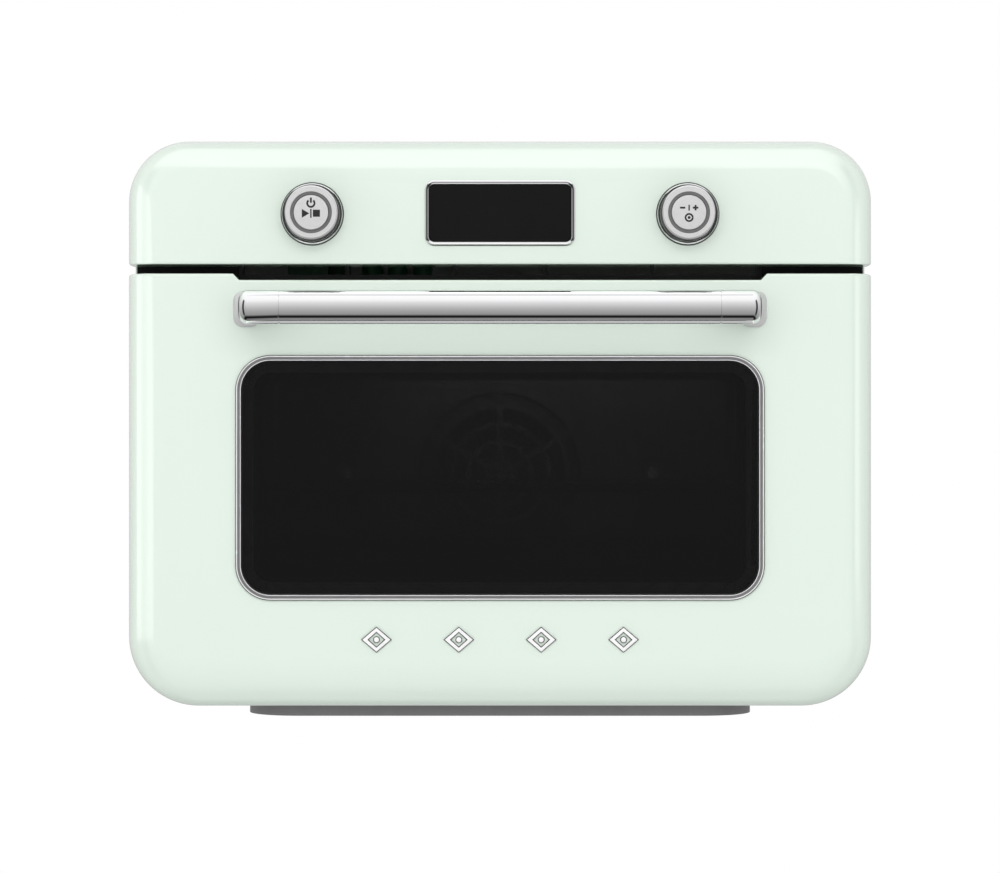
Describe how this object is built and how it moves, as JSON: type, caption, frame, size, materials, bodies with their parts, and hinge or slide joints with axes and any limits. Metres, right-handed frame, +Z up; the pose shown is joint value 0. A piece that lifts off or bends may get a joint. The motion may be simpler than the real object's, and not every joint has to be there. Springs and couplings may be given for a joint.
{
  "type": "toaster oven",
  "caption": "Retro countertop convection toaster oven: rounded enamel body, chrome-handled drop-down glass door, turning knobs with push buttons, inner rack, trays and fan.",
  "frame": {"origin": "on the counter, under the middle of the overall bounding box with the door closed", "axes": "+X to the right as the user faces the door, +Y from the door towards the back, +Z up"},
  "size_m": [0.49, 0.405, 0.382],
  "materials": {
    "mint_enamel": "gloss mint enamel on steel",
    "bright_chrome": "polished chrome plate",
    "satin_steel": "satin finish turned metal",
    "black_glass": "dark tinted tempered glass",
    "inner_pane": "heat-reflecting tinted glass",
    "lens_glass": "clear borosilicate glass",
    "black_enamel": "satin black enamel",
    "cavity_enamel": "speckled dark enamel",
    "tray_enamel": "non-stick dark coating",
    "galvanised": "galvanised sheet steel",
    "rack_chrome": "plated wire",
    "fasteners": "zinc plated steel",
    "heater_sheath": "heat-tinted sheath",
    "ceramic": null,
    "fan_blade": "stamped sheet",
    "grey_moulding": "dark grey moulding",
    "black_moulding": "black moulding",
    "black_rubber": "soft rubber",
    "circuit_board": "green circuit board with parts",
    "motor_steel": "grey lacquered laminations",
    "glass_wool": "glass wool blanket"
  },
  "bodies": {
    "cabinet": {"cabinet_wrap": "mint_enamel", "control_fascia": "mint_enamel", "display_bezel": "bright_chrome", "knob_bases": "bright_chrome", "display_glass": "black_glass", "lamp_lens": "lens_glass", "front_frame": "black_enamel", "hinge_trough": "black_enamel", "cavity_liner": "cavity_enamel", "fan_cover": "cavity_enamel", "base_pan": "galvanised", "rear_cover": "galvanised", "heat_shield": "galvanised", "motor_bracket": "galvanised", "hinge_brackets": "galvanised", "rack_supports": "rack_chrome", "rear_cover_screws": "fasteners", "fan_cover_screws": "fasteners", "temperature_probe": "fasteners", "heater_rods": "heater_sheath", "ring_heater": "heater_sheath", "heater_bushes": "ceramic", "oven_lamp": "ceramic", "thermal_cutout": "ceramic", "terminal_block": "ceramic", "plinth": "grey_moulding", "cord_gland": "grey_moulding", "display_module": "grey_moulding", "encoders": "grey_moulding", "vent_grille": "black_moulding", "foot_pads": "black_rubber", "rear_bumpers": "black_rubber", "door_gasket": "black_rubber", "control_board": "circuit_board", "power_board": "circuit_board", "fan_motor": "motor_steel", "cavity_insulation": "glass_wool"},
    "door": {"door_panel": "mint_enamel", "window_trim": "bright_chrome", "outer_glass": "black_glass", "glass_retainer": "galvanised", "inner_glass": "inner_pane", "door_liner": "cavity_enamel", "handle_bar": "bright_chrome", "handle_ends": "bright_chrome", "handle_screws": "fasteners", "hinge_arms": "galvanised", "hinge_pins": "fasteners", "hinge_springs": "fasteners", "door_ornaments": "bright_chrome"},
    "fan_rotor": {"convection_fan": "fan_blade", "cooling_fan": "grey_moulding", "motor_shaft": "fasteners"},
    "left_knob": {"left_knob_ring": "satin_steel"},
    "right_knob": {"right_knob_ring": "satin_steel"},
    "left_push": {"left_button": "satin_steel"},
    "right_push": {"right_button": "satin_steel"},
    "rack": {"wire_rack": "rack_chrome"},
    "tray": {"baking_tray": "tray_enamel"},
    "crumbs": {"crumb_tray": "galvanised"}
  },
  "joints": [
    {"name": "door_hinge", "type": "hinge", "parent": "cabinet", "child": "door", "pos_m": [0, -0.1375, 0.0285], "axis": [1, 0, 0], "range_deg": [0, 80], "stiffness_Nm_per_rad": 1.6, "springref_deg": -34.38},
    {"name": "left_knob_turn", "type": "hinge", "parent": "cabinet", "child": "left_knob", "pos_m": [-0.1229, -0.1575, 0.3329], "axis": [0, 1, 0], "continuous": true},
    {"name": "right_knob_turn", "type": "hinge", "parent": "cabinet", "child": "right_knob", "pos_m": [0.1229, -0.1575, 0.3329], "axis": [0, 1, 0], "continuous": true},
    {"name": "left_button_push", "type": "slide", "parent": "cabinet", "child": "left_push", "axis": [0, 1, 0], "range_m": [0, 0.0012], "stiffness_N_per_m": 800},
    {"name": "right_button_push", "type": "slide", "parent": "cabinet", "child": "right_push", "axis": [0, 1, 0], "range_m": [0, 0.0012], "stiffness_N_per_m": 800},
    {"name": "fan_spin", "type": "hinge", "parent": "cabinet", "child": "fan_rotor", "pos_m": [0, 0.1325, 0.16], "axis": [0, 1, 0], "continuous": true},
    {"name": "wire_rack_slide", "type": "slide", "parent": "cabinet", "child": "rack", "axis": [0, -1, 0], "range_m": [0, 0.14]},
    {"name": "baking_tray_slide", "type": "slide", "parent": "cabinet", "child": "tray", "axis": [0, -1, 0], "range_m": [0, 0.119]},
    {"name": "crumb_tray_slide", "type": "slide", "parent": "cabinet", "child": "crumbs", "axis": [0, -1, 0], "range_m": [0, 0.056]}
  ],
  "couplings": [
    {"joint": "wire_rack_slide", "follows": "door_hinge", "m_per_rad": 0.1},
    {"joint": "baking_tray_slide", "follows": "door_hinge", "m_per_rad": 0.085},
    {"joint": "crumb_tray_slide", "follows": "door_hinge", "m_per_rad": 0.04}
  ]
}
